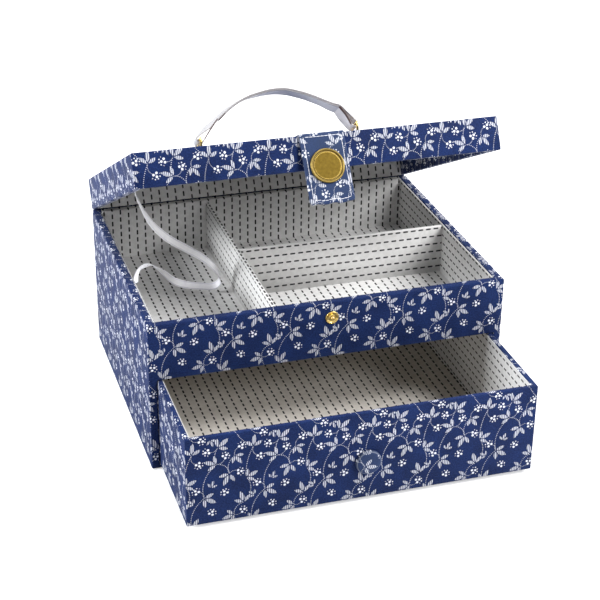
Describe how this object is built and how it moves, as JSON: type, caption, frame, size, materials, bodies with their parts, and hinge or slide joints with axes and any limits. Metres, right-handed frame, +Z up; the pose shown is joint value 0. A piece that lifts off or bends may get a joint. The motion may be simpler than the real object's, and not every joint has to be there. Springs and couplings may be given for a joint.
{
  "type": "sewing box",
  "caption": "Cloth-covered sewing box with a hinged lid on a ribbon stay, a snap closure tab, a carrying strap, a divided tray and a pull-out drawer.",
  "frame": {"origin": "centre of the box's underside, on the surface that it stands on", "axes": "+X to the right along the front, +Y from the front to the back, +Z up"},
  "size_m": [0.27, 0.3045, 0.2353],
  "materials": {
    "printed_cover": "matt printed cotton, white sprigs on navy",
    "dash_lining": "matt grey paper printed with running-stitch dashes",
    "board": "grey bookbinding board",
    "base_paper": "matt navy paper",
    "gold_metal": "polished and lacquered",
    "tab_filling": "pressed felt filling",
    "strap_cloth": "white satin-faced strap",
    "white_ribbon": "white satin ribbon"
  },
  "bodies": {
    "case": {"base_paper": "base_paper", "case_base_board": "board", "drawer_bay_paper": "dash_lining", "case_left_board": "board", "case_right_board": "board", "case_back_board": "board", "case_front_rail": "board", "tray_floor_board": "board", "case_cover": "printed_cover", "tray_floor_lining": "dash_lining", "tray_left_lining": "dash_lining", "tray_right_lining": "dash_lining", "tray_front_lining": "dash_lining", "tray_back_lining": "dash_lining", "long_divider_card": "board", "long_divider_paper": "dash_lining", "cross_divider_card": "board", "cross_divider_paper": "dash_lining", "snap_stud": "gold_metal", "snap_stud_washer": "gold_metal", "hinge_cloth": "printed_cover", "lid_ribbon": "white_ribbon"},
    "lid": {"lid_top_board": "board", "lid_front_board": "board", "lid_left_board": "board", "lid_right_board": "board", "lid_back_board": "board", "lid_cover": "printed_cover", "lid_top_lining": "dash_lining", "lid_back_lining": "dash_lining", "handle_plate_left": "gold_metal", "handle_plate_right": "gold_metal", "handle_rivets": "gold_metal", "tab_root": "printed_cover"},
    "closure_tab": {"tab_core": "tab_filling", "tab_cover": "printed_cover", "button_cap": "gold_metal", "button_back_plate": "gold_metal", "snap_socket": "gold_metal"},
    "handle": {"handle_strap": "strap_cloth", "handle_ring_left": "gold_metal", "handle_ring_right": "gold_metal"},
    "drawer": {"drawer_base_board": "board", "drawer_front_board": "board", "drawer_back_board": "board", "drawer_left_board": "board", "drawer_right_board": "board", "drawer_cover": "printed_cover", "drawer_floor_lining": "dash_lining", "drawer_left_lining": "dash_lining", "drawer_right_lining": "dash_lining", "drawer_front_lining": "dash_lining", "drawer_back_lining": "dash_lining", "knob_core": "gold_metal", "knob_cover": "printed_cover", "knob_washer": "gold_metal"}
  },
  "joints": [
    {"name": "lid_hinge", "type": "hinge", "parent": "case", "child": "lid", "pos_m": [0, 0.104, 0.118], "axis": [-1, 0, 0], "range_deg": [-26.84, 85], "deforming": ["hinge_cloth", "lid_ribbon"]},
    {"name": "tab_hinge", "type": "hinge", "parent": "lid", "child": "closure_tab", "pos_m": [0.0005, -0.07031, 0.23422], "axis": [-1, 0, 0], "range_deg": [-5, 150]},
    {"name": "handle_swing", "type": "hinge", "parent": "lid", "child": "handle", "pos_m": [-0.002, 0.02791, 0.19797], "axis": [1, 0, 0], "range_deg": [-54, 78]},
    {"name": "drawer_slide", "type": "slide", "parent": "case", "child": "drawer", "axis": [0, -1, 0], "range_m": [-0.0812, 0.0688]}
  ]
}
